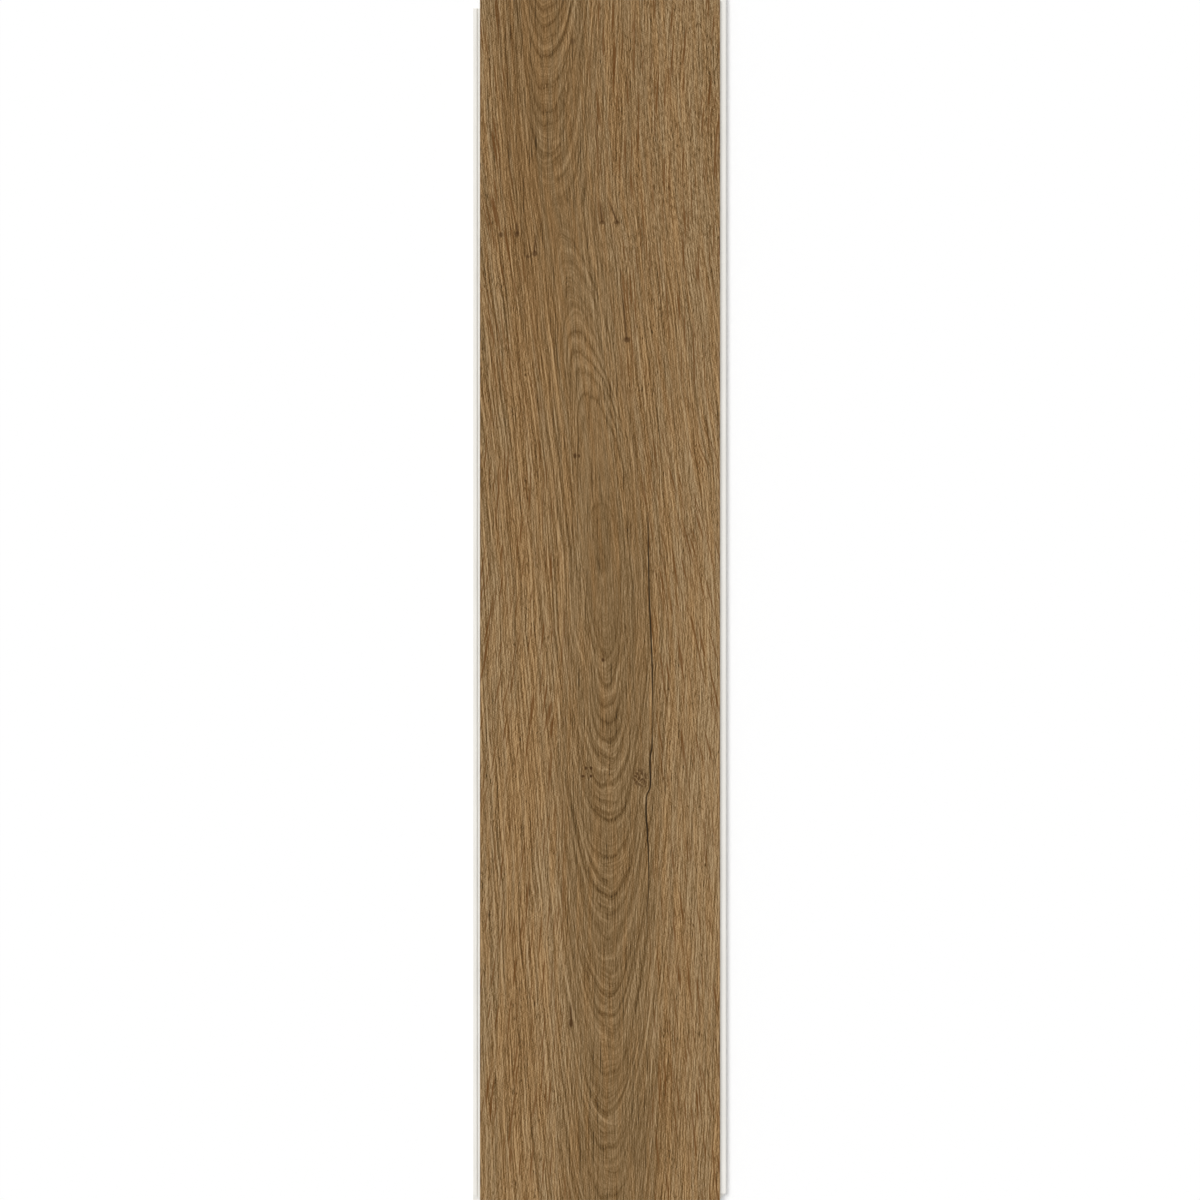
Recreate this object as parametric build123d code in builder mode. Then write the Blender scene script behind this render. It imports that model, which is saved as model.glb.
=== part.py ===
"""Herringbone hybrid floor plank, in millimetres.

One rigid plank lies flat with its face up and its length along Y. A click profile is milled along
all four edges: a groove with a long lower lip on the -X side and the -Y end, and the tongue that
fits it on the +X side and the +Y end. Either tongue fits either groove, as a herringbone needs.
The origin is on the underside, below the face's centre.
"""

import os
from math import radians, tan

from build123d import *

# Plank: the face that shows when the floor is laid, and the whole thickness
face_width = 120.0
face_length = 600.0
thickness = 6.5
bevel = 0.3  # both legs of the micro-bevel round the face

# Groove: depths are taken inwards from the closing edge of the face
upper_lip = 2.5  # from the face down to the groove's ceiling
groove_depth = 3.4
groove_mouth_radius = 0.2
groove_end_height = 1.5
groove_end_radius = 0.55

# Lower lip: it reaches outwards under the next plank, with a pocket and then the locking ridge
lip_reach = 3.6
lip_thickness = 1.3  # under the pocket
lip_tip_radius = 0.7
pocket_width = 1.1
pocket_radius = 0.3
lock_height = 0.8
lock_angle = 52.0  # slope of the locking face, in degrees
lock_radius = 0.25

# Play between the tongue of one plank and the groove of the next
seat_clearance = 0.06  # on the faces that bear
relief_clearance = 0.25  # at the tip of the tongue and round the ridge
end_play = 0.05  # the ends are milled this much freer, above and below, so that they drop in

# Tongue: its other sizes follow from the groove
tongue_radius = 0.6
tongue_root_radius = 0.15

# Sawn blank and the cutters that mill it
saw_allowance = 1.0
cutter_overrun = 2.0

# Heights above the underside and slopes that both edges share
ceiling = thickness - upper_lip
groove_end_floor = ceiling - groove_end_height
ridge = lip_thickness + lock_height
floor_slope = (groove_end_floor - lip_thickness) / groove_depth
lock_slope = tan(radians(lock_angle))

# Outer limits of the blank and of the cutters, from the closing edge
blank_margin = max(lip_reach, groove_depth) + saw_allowance
cutter_reach = blank_margin + cutter_overrun
above_face = thickness + cutter_overrun
below_underside = -cutter_overrun


def groove_cutter(play):
    """What the groove cutter removes, from the face round to the lip: (reach, height, radius)."""
    roof = ceiling + play
    pocket = lip_thickness - play
    top = ridge - play
    return [
        (-bevel - cutter_overrun, above_face, 0),
        (0, thickness - bevel, 0),
        (0, roof, groove_mouth_radius),
        (-groove_depth, roof, groove_end_radius),
        (-groove_depth, groove_end_floor - play, groove_end_radius),
        (0, pocket, pocket_radius),
        (pocket_width, pocket, pocket_radius),
        (pocket_width + lock_height / lock_slope, top, lock_radius),
        (lip_reach, top, lip_tip_radius),
        (lip_reach, below_underside, 0),
        (cutter_reach, below_underside, 0),
        (cutter_reach, above_face, 0),
    ]


def tongue_cutter(play):
    """What the tongue cutter removes, from the underside round to the face: (reach, height, radius)."""
    undercut = -(lip_reach + relief_clearance)
    relief = ridge + relief_clearance + play
    belly = lip_thickness + seat_clearance + play
    lock_foot = seat_clearance - pocket_width
    tip = groove_depth - relief_clearance
    crown = ceiling - seat_clearance - play
    return [
        (undercut, below_underside, 0),
        (undercut, relief, lock_radius),
        (lock_foot - (relief - belly) / lock_slope, relief, lock_radius),
        (lock_foot, belly, pocket_radius),
        (0, belly, pocket_radius),
        (tip, belly + floor_slope * tip, tongue_radius),
        (tip, crown, tongue_radius),
        (0, crown, tongue_root_radius),
        (0, thickness - bevel, 0),
        (-bevel - cutter_overrun, above_face, 0),
        (cutter_reach, above_face, 0),
        (cutter_reach, below_underside, 0),
    ]


with BuildPart() as milled_blank:
    Box(
        face_width + 2 * blank_margin,
        face_length + 2 * blank_margin,
        thickness,
        align=(Align.CENTER, Align.CENTER, Align.MIN),
    )

    # Long edges first, then the ends: each cutter runs right through, so a corner keeps what both leave
    long_edges = (Plane.XZ, face_width, face_length, 0)
    ends = (Plane.YZ, face_length, face_width, end_play)
    for across, span, run, play in (long_edges, ends):
        for cutter, side in ((groove_cutter(play), -1), (tongue_cutter(play), 1)):
            with BuildSketch(across):
                with BuildLine():
                    corners = [(side * (span / 2 + reach), height) for reach, height, _ in cutter]
                    radii = [radius for _, _, radius in cutter]
                    FilletPolyline(*corners, radius=radii, close=True)
                make_face()
            extrude(amount=run / 2 + cutter_reach, both=True, mode=Mode.SUBTRACT)

# Two chips come loose where a lip runs into the tongue cutter's path, and fall away
with BuildPart() as floor_plank:
    add(milled_blank.part.solids().sort_by(SortBy.VOLUME)[-1])

floor_plank.part.label = "floor_plank"

os.makedirs("parts", exist_ok=True)
export_step(floor_plank.part, "parts/floor_plank.step")
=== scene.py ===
"""Dresses the herringbone floor plank: an oak face with embossed grain, and milled edges of rigid core.

The frame is in metres. The oak figure is laid out in millimetres on the face: x across it from the
middle, y up its length from the middle. The face's colour and its relief are made by the same
functions, once in the material and once in the geometry, so they lie in register.

Among the settings, noise cells are (width, length, seed), and limits are (start, end): the values at
which a thing starts to show and at which it shows in full.
"""

from math import e, pi, radians

import bmesh
import bpy
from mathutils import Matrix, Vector


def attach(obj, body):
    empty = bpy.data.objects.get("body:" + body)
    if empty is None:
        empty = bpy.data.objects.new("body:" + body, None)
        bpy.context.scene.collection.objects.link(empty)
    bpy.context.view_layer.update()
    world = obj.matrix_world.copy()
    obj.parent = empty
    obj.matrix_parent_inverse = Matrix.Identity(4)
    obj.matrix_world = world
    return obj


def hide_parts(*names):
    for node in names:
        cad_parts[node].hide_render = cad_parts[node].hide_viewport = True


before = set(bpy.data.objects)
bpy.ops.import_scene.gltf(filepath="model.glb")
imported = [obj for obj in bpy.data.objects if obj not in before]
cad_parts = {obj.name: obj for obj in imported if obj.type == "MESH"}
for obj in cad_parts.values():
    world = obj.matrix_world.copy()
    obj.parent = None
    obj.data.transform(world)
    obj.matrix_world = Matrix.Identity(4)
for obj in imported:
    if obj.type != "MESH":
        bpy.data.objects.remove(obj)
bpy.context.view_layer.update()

MM = 0.001

# Grid of the embossed face, and how deep the grain is pressed into it
grid_columns = 320
grid_rows = 300
emboss_depth = 0.04 * MM
emboss_border = 1.0  # mm along the edge in which the relief dies out
pore_limits = (0.1, -0.5)  # tones of the fibres
pore_depth = 0.7  # this and the next two are shares of emboss_depth
check_depth = 1.5
knot_depth = 0.6

# Fibres: (width, length, pair, weight) of each layer, in mm: the size of its noise cells and, where streaks
# come in pairs of a light and a dark one, how far apart the two are
fine_fibres = (
    (0.28, 14.0, 0.68, 0.50),
    (0.24, 3.0, 0.60, 0.51),
    (0.30, 0.6, 0.75, 0.47),
    (0.70, 1.2, 0.0, 0.24),
    (2.5, 6.0, 0.0, 0.18),
)
long_fibres = (
    (0.40, 40.0, 1.0, 0.35),
    (1.0, 50.0, 2.4, 0.25),
)
layer_seed = 9.3  # from one layer's noise to the next
noise_spread = 0.134  # standard deviation of plain noise
fibre_run = 120.0  # mm after which fibres that spread give way to new ones
run_shift = 37.0  # mm from the noise of one run to that of the next
fork_limits = (0.0, 150.0)  # squares of the distance at which fibres come out of the flow line

# Flow line: the fibres run along it, and spread from it upwards beside the arcs of the lower and the top run:
# (y at which they start to, how strongly to the left, how strongly to the right)
flow_line = ((-300, 4.2), (-25, 3.2), (42, -1.0), (100, -7.5), (175, -17.0), (225, -23.0), (300, -27.0))
lower_spread = (-15.0, 6.5, 6.0)
top_spread = (195.0, 1.5, 6.0)
fine_follow = 0.6  # share of the flow line's turns that the fine fibres follow
wander_cells = (9.0, 40.0, 3.7)
wander_reach = 2.0

# Heart line: the axis of the ring arcs, as (y, x)
heart_line = (
    (-300, 4.2), (-120, 4.0), (-25, 3.2), (42, -1.0), (104, -7.8),
    (125, -12.0), (148, -14.5), (192, -21.0), (219, -26.5), (300, -28.0),
)

# Ring arcs: the y at which each crosses the heart line, and its darkness, below 0 for a light one
top_arcs = (
    (295, 0.8), (287, 0.9), (280, 1.0), (274.5, -0.7), (270, 1.1), (262, -0.6), (255.5, 1.1), (244.5, 1.1),
    (237, 0.9), (231, -0.5), (222, 0.8),
)
middle_arcs = (
    (182, 0.9), (176, -0.6), (169.5, 0.6), (163, -0.4), (154.5, 0.6), (147, 0.8), (140, -0.5), (134, 1.1),
    (129, -0.5), (125, 1.3), (119, -0.6), (114.5, 0.7), (109, -0.5), (103, 1.2), (91, 0.5), (49, 0.6),
    (41, 0.5),
)
lower_arcs = (
    (-5, -0.4), (-19.5, 0.5), (-27.5, 0.9), (-32, -0.5), (-42.5, 1.1), (-47, -0.8), (-53, 0.7), (-56.5, -0.6),
    (-61.5, 0.8), (-66, -0.4), (-70.5, 0.9), (-74.5, -0.7), (-79.5, 0.9), (-86.5, -0.7), (-92, 0.9),
    (-95.5, -0.5), (-101.5, 0.5), (-105, -0.7), (-110.5, 1.3), (-115.5, -0.7), (-128.5, 1.1), (-133.5, -0.5),
    (-146.5, 1.1), (-153, -0.7), (-157.5, 0.6), (-168, 0.5), (-179.5, -0.8), (-192, 0.7), (-196.5, 0.5),
    (-207.5, 0.7), (-222.5, -0.4), (-236, 0.8), (-247, 0.6), (-254.5, 0.6), (-263, -0.4), (-273, 0.5),
    (-286.5, 0.6), (-293, -0.4), (-299, 0.6),
)
arc_thickness = 0.85  # mm along the heart line, to the arc's shoulder
arm_thinning = 0.28  # 0.5 keeps the arms as thick as the apex, less makes them thinner
sway_cells = (6.0, 14.0, 8.1)
sway_reach = 6.0
teeth_cells = (0.5, 12.0, 2.2)
teeth_reach = 4.0

# Ring runs: the arcs, which way they open (1 upwards, -1 downwards), and the limits of the run, as distances
# from the heart line
ring_runs = (
    (top_arcs, 1.0, (20.0, 9.0)),
    (middle_arcs, -1.0, (26.0, 11.0)),
    (lower_arcs, 1.0, (19.0, 8.0)),
)

# Reach of the arcs: how far from the heart line they have risen by arc_rise
top_reach = (6.3, 8.8)  # to the left and to the right
middle_reach = (4.5, 8.5)
lower_reach = ((-300, 8.5), (-230, 9.0), (-180, 7.5), (-128, 10.0), (-60, 7.0), (-20, 5.0), (60, 5.0))
arc_rise = 10.0
arc_power = 2.25  # 2 for parabolas, more for flatter bottoms and steeper arms
least_side = 0.01  # keeps the slope of an arc finite on the heart line
top_run_limits = (186.0, 206.0)
lower_run_limits = (55.0, 15.0)

# Hairlines: thin rings between the arcs, close to the heart line and away from the eye
hairline_cells = (0.75, 12.0, 5.3)  # across the rings and along them
hairline_limits = (11.0, 3.0)
hairline_gap = 55.0  # y of the middle of the gap
hairline_gap_limits = (40.0, 75.0)

# Eye: ovals in the middle of the figure: (x, y, half width, half height, lean, darkness of the oval)
eye_ovals = ((0.8, 33.0, 4.4, 19.5, 0.05, 0.32), (2.2, 17.0, 8.0, 47.0, 0.05, 0.1))
eye_rim = 0.1  # half width of an oval's dark rim and of the light one outside it, as a share of the oval
eye_rim_strength = 1.2
eye_cells = (1.5, 9.0, 7.1)
eye_waver = 0.25

# Rays: rusty spindles splaying outwards on the flanks, by sections: (middle y, mm to where they meet, seed)
ray_sections = ((200.0, -600.0, -599.6), (0.0, 260.0, 260.4), (-200.0, 420.0, 420.4))
ray_section_limits = (60.0, 140.0)
ray_size = (0.8, 20.0)
ray_limits = (0.14, 0.26)
ray_flank_limits = (14.0, 26.0)

# Shades: broad light and dark places, the dark ones rustier: (x, y, half width, half height, lightness)
shades = (
    (-40, 175, 9, 70, -0.45), (0, 150, 10, 55, 0.3), (11, 245, 9, 60, -0.3), (56, 240, 7, 60, -0.45),
    (-14, 0, 8, 50, 0.5), (56, -75, 8, 100, 0.5), (-24, -155, 8, 50, 0.45), (-14, -215, 8, 35, 0.45),
    (-39, -225, 11, 50, -0.4), (26, -210, 7, 30, 0.35), (36, -250, 8, 50, -0.7), (46, -250, 6, 40, 0.45),
    (-26, -215, 6, 90, 0.35), (58, -250, 6, 45, -0.4), (36, 140, 7, 45, -0.3),
)

# Pin knots: (x, y, half width, half height, darkness)
pin_knots = (
    (-49.5, 182.5, 1.1, 1.3, 0.7), (-41.5, 182.5, 1.2, 1.4, 0.7), (-32.5, 173.0, 1.3, 1.5, 0.8),
    (-36.0, 171.5, 1.1, 0.9, 0.6), (1.0, 188.5, 1.6, 1.0, 0.6), (8.5, 188.5, 1.5, 1.0, 0.6),
    (-13.5, 279.0, 1.3, 1.6, 0.5), (13.5, 130.0, 1.8, 1.4, 0.75), (-12.5, 72.0, 0.8, 1.4, 0.9),
    (-10.5, 72.0, 0.7, 1.0, 0.8), (1.5, -30.0, 0.8, 1.0, 0.9), (-7.0, -84.0, 0.7, 0.9, 0.9),
    (-4.5, -84.0, 0.7, 0.9, 1.0), (-8.5, -88.0, 0.8, 0.7, 0.9), (-4.5, -88.0, 0.7, 0.8, 1.0),
    (-14.5, -211.5, 1.1, 2.0, 0.85),
)
pin_knot_limits = (0.1, 0.7)

# Celled knot: one larger knot, of dark cells with light lines between them
celled_knot = (20.0, -89.0, 4.6, 5.4, 0.8)
celled_knot_limits = (0.2, 0.8)
knot_cells = (1.5, 1.5, 2.6)
knot_cell_limits = (0.03, 0.13)

# Knot trails: thin dark lines above pin knots, as (x, y) at the knot and (x, y) at the far end
knot_trails = (
    ((1.0, 189.0), (-0.5, 203.0)), ((8.5, 189.0), (3.0, 203.0)), ((13.3, 131.0), (10.0, 163.0)),
    ((-32.8, 174.0), (-32.0, 184.0)), ((-41.3, 183.0), (-42.0, 191.0)), ((-14.3, -210.0), (-15.0, -199.0)),
)
trail_half_width = 0.5
trail_knot_limits = (-0.06, 0.06)  # shares of the trail's length, here at the knot
trail_end_limits = (1.0, 0.4)
trail_darkness = 0.9

# Season check: the thin split to the right of the heart, as (y, x), and its half width
check_path = (
    (-170, 23.2), (-151, 23.7), (-139, 24.4), (-126.5, 24.1), (-113, 23.5), (-105, 23.0), (-96.5, 23.7),
    (-90.5, 25.2), (-81.5, 25.0), (-72.5, 26.0), (-48, 26.2), (-19, 25.5), (6, 24.5), (44, 23.9),
)
check_half_width = (
    (-170, 0.03), (-160, 0.1), (-140, 0.16), (-121, 0.3), (-112, 0.45), (-104, 0.45), (-98, 0.25),
    (-90, 0.42), (-78, 0.35), (-70, 0.25), (-64, 0.12), (-48, 0.14), (-38, 0.3), (-20, 0.32), (20, 0.26),
    (44, 0.1),
)
check_softness = 0.25  # mm outside it in which it fades
check_core = 0.5  # share of its half width that is quite dark
check_open_limits = (0.0, 0.2)  # half widths
check_highlight_places = ((-52.0, 9.0), (-99.5, 4.0))  # (y, half height) where a painted highlight lies along its left edge
check_highlight_aside = 0.95
check_highlight_half_width = 0.4

# Zones of the face: by the distance from the heart line, by y or by x and y
heart_limits = (30.0, 16.0)
calm_limits = (12.0, 3.0)  # the innermost part of the heart
lower_limits = (60.0, -40.0)  # the lower half
bold_limits = ((-5.0, -25.0), (220.0, 140.0))  # the left flank below the top
flecked_limits = ((5.0, 30.0), (130.0, 190.0))  # the upper right

# Pores: short dashes in patches on the flanks, long threads in the heart, and leaning flecks in their zone
dash_cells = (0.34, 2.6, 6.6)
dash_limits = (-0.16, -0.26)
patch_cells = (8.0, 14.0, 4.2)
patch_limits = (-0.12, 0.2)
thread_cells = (0.32, 24.0, 7.7)
thread_limits = (-0.17, -0.26)
fleck_cells = (1.1, 2.6, 5.9)
fleck_lean = 0.3

# Tone: how strongly each part of the figure shows, on the scale of oak_tones
heart_loss = 0.2  # shares of the fine fibres lost in the heart and once more in its calm part
calm_loss = 0.2
bold_gain = 0.35  # shares of the long fibres gained and lost in these zones
flecked_loss = 0.45
fleck_strength = 3.0
dash_strength = 3.4
thread_strength = 2.8
arc_strength = 1.3
hairline_strength = 2.2
# strength of the painted highlight along the check's left edge
check_highlight_strength = 3.5
heart_darkness = 0.5
pale_heart = (100.0, 70.0, 0.35)  # (y, half height, lightness) of the paler stretch of the heart
right_limits = (24.0, 40.0)
right_lightness = 0.38
left_limits = (-18.0, -32.0)
left_lightness = 0.25  # in the lower half
middle_tone = 0.22

# Warmth: from 0 for olive to 1 for rusty
middle_warmth = 0.45
streak_cells = (2.0, 40.0, 9.4)
streak_warmth = 2.2
rusty_band = (-38.0, 14.0, 0.35)  # (x, half width, warmth) along the left flank
shade_warmth = 0.7
olive_heart_limits = (-18.0, -4.0)  # from the left of the heart line
olive_heart = 0.35
olive_corner_limits = ((36.0, 52.0), (130.0, 220.0))
olive_corner = 0.5
olive_edge_limits = (-42.0, -56.0)
olive_edge = 0.2

# Tones of the oak as display colours, from the darkest pores to the lightest fibres, and their places
oak_tones = (
    (-4.0, (64, 50, 31)),
    (-3.0, (88, 64, 36)),
    (-2.33, (99, 74, 44)),
    (-0.67, (124, 97, 63)),
    (0.0, (136, 108, 72)),
    (0.67, (147, 118, 82)),
    (2.33, (172, 143, 104)),
    (3.0, (183, 154, 115)),
)
olive_cast = (0.97, 1.0, 1.05, 1.0)
rusty_cast = (1.05, 0.99, 0.91, 1.0)
ray_brown = (104, 67, 33)
knot_brown = (76, 52, 30)
check_black = (50, 39, 26)
ray_strength = 0.75

# Wear layer over the oak
gloss_lift = 0.009  # what the sheen of the finish adds to every channel
oak_roughness = 0.6
oak_gloss = 0.12
brushing_depth = 0.02 * MM
brushing_strength = 0.5

# Core: its darkest and palest colours, the speckle of its mineral and the marks of the cutter
core_shades = ((228, 225, 218), (244, 242, 237))
core_roughness = 0.75
speckle_cells = (0.3, 0.3, 1.0)
speckle_strength = 0.5
cut_cells = (0.08, 30.0, 4.0)
cut_strength = 0.4

# Underside: its colours, the clouds in them and the weave of the press cloth
underside_shades = ((206, 202, 194), (222, 219, 212))
underside_roughness = 0.8
cloud_cells = (5.0, 14.0, 1.5)
weave_turn = 5.0  # radians to a millimetre
weave_strength = 0.15
weave_depth = 0.03 * MM

# Where on a colour ramp the two colours of the core, or of the underside, are reached
shade_stops = (0.2, 0.8)

# Shell of the plank
height_play = 0.01 * MM  # what lies within this of a height is taken to lie at it
bevel_reach = 1.0 * MM  # from the face down to below the bevel
bevel_slope = 0.5  # upward part of the normal of a face that the oak film covers, at least
flat_slope = 0.99  # downward part of the normal of the underside, at least
shell_merge = 0.001 * MM  # points closer than this are merged, in the shell and where the face joins it
seam_merge = 0.002 * MM

# Light, floor and camera
sun_share = 0.4
sun_gain = 1.15
sun_width = 30.0  # degrees, as are its tilts
sun_tilts = (-20.0, -22.0)
floor_reach = 12.0  # metres from the middle to each side
lens = 135.0
sensor = 36.0


def linear(display, lift=0.0):
    """Scene colour that shows as a display colour, 0 to 255, once a sheen has lifted it."""
    parts = [channel / 255 for channel in display]
    levels = [part / 12.92 if part <= 0.04045 else ((part + 0.055) / 1.055) ** 2.4 for part in parts]
    return [max(level - lift, 0.0) for level in levels] + [1.0]


class Field:
    """A number that varies over a surface: one socket of a node tree, with Python's operators."""

    def __init__(self, nodes, socket):
        self.nodes = nodes
        self.socket = socket

    def __add__(self, other):
        return self.nodes.math("ADD", self, other)

    def __radd__(self, other):
        return self.nodes.math("ADD", other, self)

    def __sub__(self, other):
        return self.nodes.math("SUBTRACT", self, other)

    def __rsub__(self, other):
        return self.nodes.math("SUBTRACT", other, self)

    def __mul__(self, other):
        return self.nodes.math("MULTIPLY", self, other)

    def __rmul__(self, other):
        return self.nodes.math("MULTIPLY", other, self)

    def __truediv__(self, other):
        return self.nodes.math("DIVIDE", self, other)

    def __rtruediv__(self, other):
        return self.nodes.math("DIVIDE", other, self)

    def __abs__(self):
        return self.nodes.math("ABSOLUTE", self)


class Nodes:
    """Adds nodes to one tree, of a material or of a geometry."""

    def __init__(self, tree):
        self.tree = tree

    def node(self, kind, settings=None, sockets=None):
        """A new node: its settings are set first, then its sockets get values or links."""
        node = self.tree.nodes.new(kind)
        for name, value in (settings or {}).items():
            if name == "stops":
                set_stops(node.color_ramp, value)
            elif name == "points":
                set_points(node.mapping, value)
            else:
                setattr(node, name, value)
        for name, value in (sockets or {}).items():
            if isinstance(value, Field):
                self.tree.links.new(value.socket, node.inputs[name])
            elif isinstance(value, bpy.types.NodeSocket):
                self.tree.links.new(value, node.inputs[name])
            else:
                node.inputs[name].default_value = value
        return node

    def field(self, kind, settings=None, sockets=None, output=0):
        """One output of a new node."""
        return Field(self, self.node(kind, settings, sockets).outputs[output])

    def math(self, operation, *values):
        return self.field("ShaderNodeMath", {"operation": operation}, dict(enumerate(values)))

    def fall(self, square):
        """1 at 0, falling off smoothly to 0 with the square of a distance."""
        return self.math("POWER", 1 / e, square)

    def bump(self, distance):
        """1 at distance 0, falling off smoothly to 0 past about 2."""
        return self.fall(distance * distance)

    def ease(self, value, start, end):
        """0 at start, 1 at end and smooth between."""
        settings = {"interpolation_type": "SMOOTHSTEP"}
        limits = {"From Min": start, "From Max": end}
        return self.field("ShaderNodeMapRange", settings, {"Value": value, **limits})

    def drawn(self, place, points):
        """A value read off a smooth curve through points, each (place, value), in order of place."""
        first, last = points[0][0], points[-1][0]
        values = [value for _, value in points]
        low, high = min(values), max(values)
        unit = [((at - first) / (last - first), (value - low) / (high - low)) for at, value in points]
        share = (place - first) / (last - first)
        return self.field("ShaderNodeFloatCurve", {"points": unit}, {"Value": share}) * (high - low) + low

    def noise(self, across, along, cells):
        """Smooth noise about 0, in cells of a width, a length and a seed."""
        width, length, seed = cells
        in_cells = {"X": across / width, "Y": along / length, "Z": seed}
        place = self.field("ShaderNodeCombineXYZ", None, in_cells)
        return self.field("ShaderNodeTexNoise", None, {"Vector": place, "Scale": 1.0, "Detail": 0.0}) - 0.5


def set_stops(ramp, stops):
    """Gives a colour ramp its stops, each (place, colour)."""
    while len(ramp.elements) < len(stops):
        ramp.elements.new(1.0)
    for element, (place, colour) in zip(ramp.elements, stops):
        element.position = place
        element.color = colour


def set_points(mapping, points):
    """Draws a curve through points from 0 to 1."""
    curve = mapping.curves[0]
    curve.points[0].location = points[0]
    curve.points[1].location = points[-1]
    for point in points[1:-1]:
        curve.points.new(*point)
    for point in curve.points:
        point.handle_type = "AUTO_CLAMPED"
    mapping.update()


# Oak figure


def spread(nodes, right, y):
    """How far the fibres have spread from the flow line at a height, as a square, to the left or right."""
    total = 0.0
    for bound, (start, strong_left, strong_right) in (("MINIMUM", lower_spread), ("MAXIMUM", top_spread)):
        strength = right * (strong_right - strong_left) + strong_left
        total = nodes.math(bound, y - start, 0.0) * strength + total
    return total


def fibre_places(nodes, flow, y):
    """Places across the fibres, in two sets of runs that fade into each other, with each set's share."""
    right = nodes.math("GREATER_THAN", flow, 0.0)
    turns = [y / fibre_run, y / fibre_run + 0.5]
    numbers = [nodes.math("ROUND", turn) for turn in turns]
    shares = [1.0 - abs(turn - number) * 2.0 for turn, number in zip(turns, numbers)]
    whole = nodes.math("SQRT", shares[0] * shares[0] + shares[1] * shares[1])
    here = flow * flow - spread(nodes, right, y)
    places = []
    for turn, number, share in zip(turns, numbers, shares):
        square = here + spread(nodes, right, y - (turn - number) * fibre_run)
        across = nodes.math("SQRT", nodes.math("MAXIMUM", square, 0.0)) * (right * 2.0 - 1.0)
        places.append((across + number * run_shift, share / whole * nodes.ease(square, *fork_limits)))
    return places


def fibres(nodes, places, y, layers):
    """Streaks along the fibres, light above 0 and dark below."""
    total = 0.0
    for number, (width, length, pair, weight) in enumerate(layers):
        cells = (width, length, layer_seed * number + width)
        for across, share in places:
            streak = nodes.noise(across, y, cells)
            if pair:
                streak = streak - nodes.noise(across + pair, y, cells)
            total = streak * share * (weight / noise_spread) + total
    return total


def arcs(nodes, apex, thickness, places):
    """Sum of the ring arcs, each a bump where the apex lies at the arc's place."""
    total = 0.0
    for place, darkness in places:
        total = nodes.bump((apex - place) / thickness) * darkness + total
    return total


def rings(nodes, x, y):
    """Growth rings, dark above 0, with the hairlines between them and the distance from the heart line."""
    side = x - nodes.drawn(y, heart_line)
    right = nodes.math("GREATER_THAN", side, 0.0)
    sway = nodes.noise(x, y, sway_cells) * sway_reach
    teeth = nodes.noise(x, y, teeth_cells) * teeth_reach
    top = nodes.ease(y, *top_run_limits)
    lower = nodes.ease(y, *lower_run_limits)
    windows = (top, (1.0 - top) * (1.0 - lower), lower)
    top_and_middle = [right * (reach[1] - reach[0]) + reach[0] for reach in (top_reach, middle_reach)]
    reaches = top_and_middle + [nodes.drawn(y, lower_reach)]
    dark = 0.0
    hairlines = 0.0
    for window, reach, (places, way, run_limits) in zip(windows, reaches, ring_runs):
        rise = nodes.math("POWER", abs(side) / reach, arc_power) * arc_rise
        apex = y + sway - rise * way
        steepness = rise * arc_power / (abs(side) + least_side)
        thickness = nodes.math("POWER", steepness * steepness + 1.0, arm_thinning) * arc_thickness
        shown = window * nodes.ease(abs(side), *run_limits)
        dark = arcs(nodes, apex + teeth, thickness, places) * shown + dark
        near = nodes.ease(abs(side), *hairline_limits)
        hairlines = nodes.noise(apex, x, hairline_cells) * window * near + hairlines
    return dark, hairlines * nodes.ease(abs(y - hairline_gap), *hairline_gap_limits), side


def rays(nodes, flow, y):
    """Rusty spindles on the flanks, leaning outwards down the plank."""
    upper = nodes.ease(y, *ray_section_limits)
    lower = nodes.ease(-1.0 * y, *ray_section_limits)
    windows = (upper, (1.0 - upper) * (1.0 - lower), lower)
    total = 0.0
    for window, (middle, meet, seed) in zip(windows, ray_sections):
        splay = nodes.math("POWER", e, (y - middle) / meet) * flow
        total = nodes.ease(nodes.noise(splay, y, (*ray_size, seed)), *ray_limits) * window + total
    return total * nodes.ease(abs(flow), *ray_flank_limits)


def eye(nodes, x, y):
    """Darkness of the nested ovals."""
    total = 0.0
    for centre_x, centre_y, half_width, half_height, lean, darkness in eye_ovals:
        along = y - centre_y
        aside = (x - centre_x + along * lean) / half_width
        along = along / half_height
        out = nodes.math("SQRT", aside * aside + along * along) + nodes.noise(x, y, eye_cells) * eye_waver
        inside = nodes.ease(out, 1.0 + eye_rim, 1.0 - eye_rim)
        rim = nodes.bump((out - 1.0) / eye_rim) - nodes.bump((out - 1.0 - eye_rim * 2.0) / eye_rim)
        total = (inside + rim * eye_rim_strength) * darkness + total
    return total


def oval(nodes, aside, along, half_width, half_height):
    """1 in the middle of an oval, falling off smoothly to 0 past about twice its size."""
    aside = aside / half_width
    along = along / half_height
    return nodes.fall(aside * aside + along * along)


def shade(nodes, x, y):
    """Broad lightness of the face."""
    total = 0.0
    for centre_x, centre_y, half_width, half_height, lightness in shades:
        total = oval(nodes, x - centre_x, y - centre_y, half_width, half_height) * lightness + total
    return total


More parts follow.
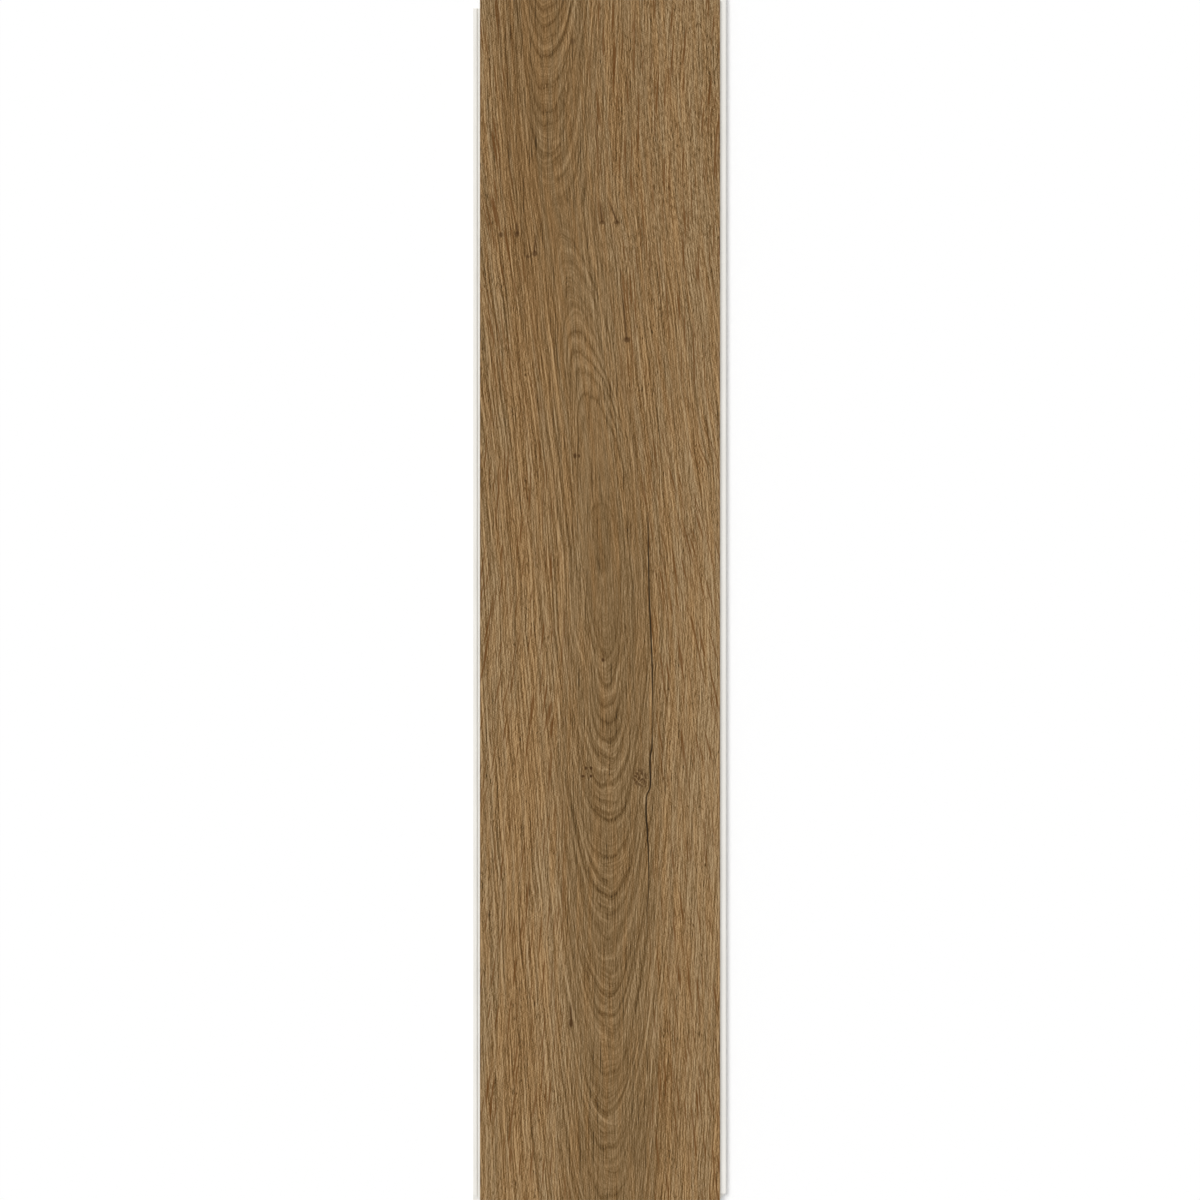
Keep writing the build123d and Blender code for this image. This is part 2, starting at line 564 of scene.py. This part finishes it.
def knots(nodes, x, y):
    """Darkness of the pin knots, of their trails and of the celled knot."""
    total = 0.0
    for knot_x, knot_y, half_width, half_height, darkness in pin_knots:
        core = nodes.ease(oval(nodes, x - knot_x, y - knot_y, half_width, half_height), *pin_knot_limits)
        total = core * darkness + total
    for (knot_x, knot_y), (end_x, end_y) in knot_trails:
        share = (y - knot_y) / (end_y - knot_y)
        aside = x - knot_x - share * (end_x - knot_x)
        ends = nodes.ease(share, *trail_knot_limits) * nodes.ease(share, *trail_end_limits)
        total = nodes.bump(aside / trail_half_width) * ends * trail_darkness + total
    knot_x, knot_y, half_width, half_height, darkness = celled_knot
    cells = nodes.ease(abs(nodes.noise(x, y, knot_cells)), *knot_cell_limits)
    core = nodes.ease(oval(nodes, x - knot_x, y - knot_y, half_width, half_height), *celled_knot_limits)
    total = core * cells * darkness + total
    return nodes.math("MINIMUM", total, 1.0)


def season_check(nodes, x, y):
    """Darkness of the split."""
    gap = abs(x - nodes.drawn(y, check_path))
    half = nodes.drawn(y, check_half_width)
    first, last = check_path[0][0], check_path[-1][0]
    inside = nodes.math("LESS_THAN", abs(y - (first + last) / 2), (last - first) / 2)
    dark = nodes.ease(gap, half + check_softness, half * check_core)
    return dark * inside * nodes.ease(half, *check_open_limits)


def painted_check_highlight(nodes, x, y):
    """Painted highlight: a lighter tone on the left edge of the split, in places."""
    aside = x - nodes.drawn(y, check_path) + check_highlight_aside
    lit = 0.0
    for centre, half_height in check_highlight_places:
        lit = nodes.bump((y - centre) / half_height) + lit
    return nodes.bump(aside / check_highlight_half_width) * lit


def zone(nodes, x, y, limits):
    """How far a place is in a zone that has limits in x and in y."""
    x_limits, y_limits = limits
    return nodes.ease(x, *x_limits) * nodes.ease(y, *y_limits)


def pores(nodes, x, y, heart):
    """Dark pores: dashes on the flanks and threads in the heart."""
    patches = nodes.ease(nodes.noise(x, y, patch_cells), *patch_limits)
    dashes = nodes.ease(nodes.noise(x, y, dash_cells), *dash_limits) * (1.0 - heart) * patches
    threads = nodes.ease(nodes.noise(x, y, thread_cells), *thread_limits) * heart
    return dashes * dash_strength + threads * thread_strength


def grain(nodes, x, y, side, heart):
    """Tone of the fibres and the flecks, and the distance from the flow line."""
    wander = nodes.noise(x, y, wander_cells) * wander_reach
    line = nodes.drawn(y, flow_line)
    flow = x - line + wander
    fine = fibres(nodes, [(x - line * fine_follow + wander, 1.0)], y, fine_fibres)
    coarse = fibres(nodes, fibre_places(nodes, flow, y), y, long_fibres)
    calm = nodes.ease(abs(side), *calm_limits)
    bold = zone(nodes, x, y, bold_limits)
    flecked = zone(nodes, x, y, flecked_limits)
    flecks = nodes.noise(x + y * fleck_lean, y, fleck_cells) * flecked
    tone = fine * (1.0 - heart * heart_loss - calm * calm_loss)
    tone = tone + coarse * (bold * bold_gain + 1.0 - flecked * flecked_loss)
    return tone + flecks * fleck_strength, flow


def figure(nodes, x, y):
    """Tone of the oak, light above 0, its warmth, and how much of it rays, knots and the check cover."""
    dark, hairlines, side = rings(nodes, x, y)
    heart = nodes.ease(abs(side), *heart_limits)
    lower = nodes.ease(y, *lower_limits)
    broad = shade(nodes, x, y)

    # Tone: the grain, the rings and marks on it, a painted highlight along the check's left edge, and then
    # the broad zones
    tone, flow = grain(nodes, x, y, side, heart)
    tone = tone - dark * arc_strength - eye(nodes, x, y) + hairlines * hairline_strength
    # painted highlight: a lighter tone along the check's left edge
    tone = tone - pores(nodes, x, y, heart) + broad + painted_check_highlight(nodes, x, y) * check_highlight_strength
    pale_y, pale_half_height, pale_lightness = pale_heart
    tone = tone - heart * (heart_darkness - nodes.bump((y - pale_y) / pale_half_height) * pale_lightness)
    tone = tone + nodes.ease(x, *right_limits) * right_lightness
    tone = tone + nodes.ease(x, *left_limits) * lower * left_lightness + middle_tone

    # Warmth: streaks along the fibres, and then the broad zones
    band_x, band_half_width, band_warmth = rusty_band
    warmth = nodes.noise(flow, y, streak_cells) * streak_warmth
    warmth = warmth + nodes.bump((x - band_x) / band_half_width) * band_warmth
    warmth = warmth - heart * lower * nodes.ease(side, *olive_heart_limits) * olive_heart
    warmth = warmth - broad * shade_warmth
    warmth = warmth - zone(nodes, x, y, olive_corner_limits) * olive_corner
    warmth = warmth - nodes.ease(x, *olive_edge_limits) * olive_edge + middle_warmth
    return tone, warmth, rays(nodes, flow, y), knots(nodes, x, y), season_check(nodes, x, y)


# Materials


def new_material(name):
    """A material with its node tree and its shader."""
    material = bpy.data.materials.new(name)
    material.use_nodes = True
    nodes = Nodes(material.node_tree)
    return material, nodes, material.node_tree.nodes["Principled BSDF"]


def place_in_mm(nodes):
    """Where a point of the plank lies, in millimetres."""
    place = nodes.node("ShaderNodeTexCoord").outputs["Object"]
    split = nodes.node("ShaderNodeSeparateXYZ", None, {0: place})
    return [Field(nodes, socket) / MM for socket in split.outputs]


def oak_face():
    """Matte wear layer over the oak figure."""
    material, nodes, shader = new_material("oak_face")
    x, y, _ = place_in_mm(nodes)
    tone, warmth, ray, knot, check = figure(nodes, x, y)
    darkest, lightest = oak_tones[0][0], oak_tones[-1][0]
    span = lightest - darkest
    stops = [((place - darkest) / span, linear(display, gloss_lift)) for place, display in oak_tones]
    colour = nodes.field("ShaderNodeValToRGB", {"stops": stops}, {"Fac": (tone - darkest) / span})
    stops = [(0.0, olive_cast), (1.0, rusty_cast)]
    cast = nodes.field("ShaderNodeValToRGB", {"stops": stops}, {"Fac": warmth})
    tinted = {"data_type": "RGBA", "blend_type": "MULTIPLY"}
    colour = nodes.field("ShaderNodeMix", tinted, {0: 1.0, 6: colour, 7: cast}, output=2)
    marks = ((ray * ray_strength, ray_brown), (knot, knot_brown), (check, check_black))
    for amount, display in marks:
        mixed = {0: amount, 6: colour, 7: linear(display, gloss_lift)}
        colour = nodes.field("ShaderNodeMix", {"data_type": "RGBA"}, mixed, output=2)
    nodes.tree.links.new(colour.socket, shader.inputs["Base Color"])
    shader.inputs["Roughness"].default_value = oak_roughness
    shader.inputs["Specular IOR Level"].default_value = oak_gloss
    lines = fibres(nodes, [(x, 1.0)], y, fine_fibres[:1])
    brushed = {"Height": lines, "Distance": brushing_depth, "Strength": brushing_strength}
    height = nodes.node("ShaderNodeBump", None, brushed)
    nodes.tree.links.new(height.outputs[0], shader.inputs["Normal"])
    return material


def colour_between(nodes, shader, two_shades, amount):
    """Gives a shader a colour between two display colours, by an amount about 0."""
    stops = [(place, linear(display)) for place, display in zip(shade_stops, two_shades)]
    colour = nodes.field("ShaderNodeValToRGB", {"stops": stops}, {"Fac": amount + 0.5})
    nodes.tree.links.new(colour.socket, shader.inputs["Base Color"])


def milled_core():
    """Pale mineral core where the click profile is milled."""
    material, nodes, shader = new_material("milled_core")
    x, y, z = place_in_mm(nodes)
    speckle = nodes.noise(x, y, speckle_cells)
    cut = nodes.noise(z, x + y, cut_cells)
    colour_between(nodes, shader, core_shades, speckle * speckle_strength + cut * cut_strength)
    shader.inputs["Roughness"].default_value = core_roughness
    return material


def pressed_underside():
    """Underside of the core, with the fine weave of the press cloth."""
    material, nodes, shader = new_material("pressed_underside")
    x, y, _ = place_in_mm(nodes)
    weave = nodes.math("SINE", x * weave_turn) * nodes.math("SINE", y * weave_turn)
    cloud = nodes.noise(x, y, cloud_cells)
    colour_between(nodes, shader, underside_shades, weave * weave_strength + cloud)
    shader.inputs["Roughness"].default_value = underside_roughness
    height = nodes.node("ShaderNodeBump", None, {"Height": weave, "Distance": weave_depth})
    nodes.tree.links.new(height.outputs[0], shader.inputs["Normal"])
    return material


# Plank


def relief(nodes, x, y):
    """Depth of the embossing as a share of emboss_depth, 0 on the flats."""
    places = fibre_places(nodes, x - nodes.drawn(y, flow_line), y)
    pressed = nodes.ease(fibres(nodes, places, y, long_fibres[1:]), *pore_limits) * pore_depth
    return pressed + season_check(nodes, x, y) * check_depth + knots(nodes, x, y) * knot_depth


def face_sheet_tree(material):
    """Geometry of the face: a grid pressed down by the relief, its border left where it is."""
    tree = bpy.data.node_groups.new("embossed_face", "GeometryNodeTree")
    for name in ("Width", "Length", "Height", "Depth"):
        tree.interface.new_socket(name, in_out="INPUT", socket_type="NodeSocketFloat")
    for name in ("Columns", "Rows"):
        tree.interface.new_socket(name, in_out="INPUT", socket_type="NodeSocketInt")
    tree.interface.new_socket("Face", in_out="OUTPUT", socket_type="NodeSocketGeometry")
    nodes = Nodes(tree)
    inputs = nodes.node("NodeGroupInput").outputs
    given = {socket.name: Field(nodes, socket) for socket in inputs if socket.name}
    size = {"Size X": given["Width"], "Size Y": given["Length"]}
    count = {"Vertices X": given["Columns"] + 1.0, "Vertices Y": given["Rows"] + 1.0}
    grid = nodes.node("GeometryNodeMeshGrid", None, {**size, **count})
    place = nodes.node("ShaderNodeSeparateXYZ", None, {0: nodes.node("GeometryNodeInputPosition").outputs[0]})
    x = Field(nodes, place.outputs["X"]) / MM
    y = Field(nodes, place.outputs["Y"]) / MM
    to_side = given["Width"] * (0.5 / MM) - abs(x)
    to_end = given["Length"] * (0.5 / MM) - abs(y)
    inside = nodes.ease(nodes.math("MINIMUM", to_side, to_end), 0.0, emboss_border)
    down = relief(nodes, x, y) * inside * given["Depth"]
    offset = nodes.field("ShaderNodeCombineXYZ", None, {"Z": given["Height"] - down})
    moved = {"Geometry": grid.outputs["Mesh"], "Offset": offset}
    pressed = nodes.node("GeometryNodeSetPosition", None, moved)
    realized = nodes.node("GeometryNodeRealizeInstances", None, {0: pressed.outputs[0]})
    finish = {"Geometry": realized.outputs[0], "Material": material}
    finished = nodes.node("GeometryNodeSetMaterial", None, finish)
    nodes.node("NodeGroupOutput", None, {"Face": finished.outputs[0]})
    return tree


def face_sheet(material, low, high):
    """The embossed face as a plain mesh, between two corners."""
    tree = face_sheet_tree(material)
    holder = bpy.data.objects.new("face_sheet", bpy.data.meshes.new("face_sheet"))
    bpy.context.scene.collection.objects.link(holder)
    modifier = holder.modifiers.new("emboss", "NODES")
    modifier.node_group = tree
    sizes = {
        "Width": high.x - low.x,
        "Length": high.y - low.y,
        "Height": high.z,
        "Depth": emboss_depth,
        "Columns": grid_columns,
        "Rows": grid_rows,
    }
    for item in tree.interface.items_tree:
        if item.in_out == "INPUT":
            modifier[item.identifier] = sizes[item.name]
    graph = bpy.context.evaluated_depsgraph_get()
    mesh = bpy.data.meshes.new_from_object(holder.evaluated_get(graph))
    bpy.data.objects.remove(holder)
    return mesh


def flat_face(shell):
    """The triangles of the plank's flat face, and two corners of the box round them."""
    top = max(vertex.co.z for vertex in shell.verts)
    flat = [face for face in shell.faces if min(vertex.co.z for vertex in face.verts) > top - height_play]
    corners = [vertex.co for face in flat for vertex in face.verts]
    low = Vector([min(corner[axis] for corner in corners) for axis in range(3)])
    high = Vector([max(corner[axis] for corner in corners) for axis in range(3)])
    return flat, low, high


def dressed_plank(solid):
    """The plank's own shape with its flat face replaced by the embossed one, closed all round."""
    materials = [oak_face(), milled_core(), pressed_underside()]
    oak_index, core_index, underside_index = range(len(materials))
    shell = bmesh.new()
    shell.from_mesh(solid.data)
    bmesh.ops.remove_doubles(shell, verts=shell.verts, dist=shell_merge)
    flat, low, high = flat_face(shell)

    # Finishes: the oak film goes over the bevel, and the core shows below it
    for face in shell.faces:
        upward = face.normal.z
        height = face.calc_center_median().z
        on_bevel = upward > bevel_slope and height > high.z - bevel_reach
        on_underside = upward < -flat_slope and height < height_play
        face.material_index = oak_index if on_bevel else underside_index if on_underside else core_index
        face.smooth = False

    # Embossed face: the flat one is cut out, and the edge of the hole gets the points of the sheet's border
    bmesh.ops.delete(shell, geom=flat, context="FACES")
    for edge in [edge for edge in shell.edges if edge.is_boundary]:
        run = edge.verts[1].co - edge.verts[0].co
        cuts = grid_rows if abs(run.y) > abs(run.x) else grid_columns
        bmesh.ops.bisect_edges(shell, edges=[edge], cuts=cuts - 1)
    sheet = face_sheet(materials[oak_index], low, high)
    for polygon in sheet.polygons:
        polygon.use_smooth = True
        polygon.material_index = oak_index
    shell.from_mesh(sheet)
    bmesh.ops.remove_doubles(shell, verts=shell.verts, dist=seam_merge)

    mesh = bpy.data.meshes.new("plank")
    shell.to_mesh(mesh)
    shell.free()
    bpy.data.meshes.remove(sheet)
    for material in materials:
        mesh.materials.append(material)
    plank = bpy.data.objects.new("plank", mesh)
    bpy.context.scene.collection.objects.link(plank)
    return plank, low, high


# Stage


def white_floor():
    """Plain white floor that takes the plank's shadow."""
    mesh = bpy.data.meshes.new("floor")
    corners = [(floor_reach * x, floor_reach * y, 0) for x, y in ((-1, -1), (1, -1), (1, 1), (-1, 1))]
    mesh.from_pydata(corners, [], [(0, 1, 2, 3)])
    floor = bpy.data.objects.new("floor", mesh)
    material, _, shader = new_material("floor_white")
    shader.inputs["Base Color"].default_value = (1, 1, 1, 1)
    shader.inputs["Roughness"].default_value = 1.0
    shader.inputs["Specular IOR Level"].default_value = 0.0
    mesh.materials.append(material)
    bpy.context.scene.collection.objects.link(floor)


def studio_light():
    """Even light from all round and a soft lamp from the upper left."""
    world = bpy.data.worlds.new("studio")
    world.use_nodes = True
    nodes = Nodes(world.node_tree)
    background = world.node_tree.nodes["Background"]
    background.inputs["Color"].default_value = (1, 1, 1, 1)
    ray = nodes.node("ShaderNodeLightPath").outputs
    camera_ray = Field(nodes, ray["Is Camera Ray"])
    strength = camera_ray * sun_share + (1.0 - sun_share)
    world.node_tree.links.new(strength.socket, background.inputs["Strength"])
    bpy.context.scene.world = world
    lamp = bpy.data.lights.new("soft_lamp", "SUN")
    lamp.energy = pi * sun_share * sun_gain
    lamp.angle = radians(sun_width)
    holder = bpy.data.objects.new("soft_lamp", lamp)
    holder.rotation_euler = (radians(sun_tilts[0]), radians(sun_tilts[1]), 0)
    bpy.context.scene.collection.objects.link(holder)


def camera_above(low, high):
    """Camera straight above the face, as far off as fits its length to the frame."""
    data = bpy.data.cameras.new("camera")
    data.lens = lens
    data.sensor_width = sensor
    camera = bpy.data.objects.new("camera", data)
    length = high.y - low.y
    camera.location = (0.0, 0.0, high.z + length * lens / sensor)
    bpy.context.scene.collection.objects.link(camera)
    bpy.context.scene.camera = camera


plank, face_low, face_high = dressed_plank(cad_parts["floor_plank"])
white_floor()
studio_light()
camera_above(face_low, face_high)
bpy.context.scene.view_settings.view_transform = "Standard"

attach(plank, "root")
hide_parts("floor_plank")
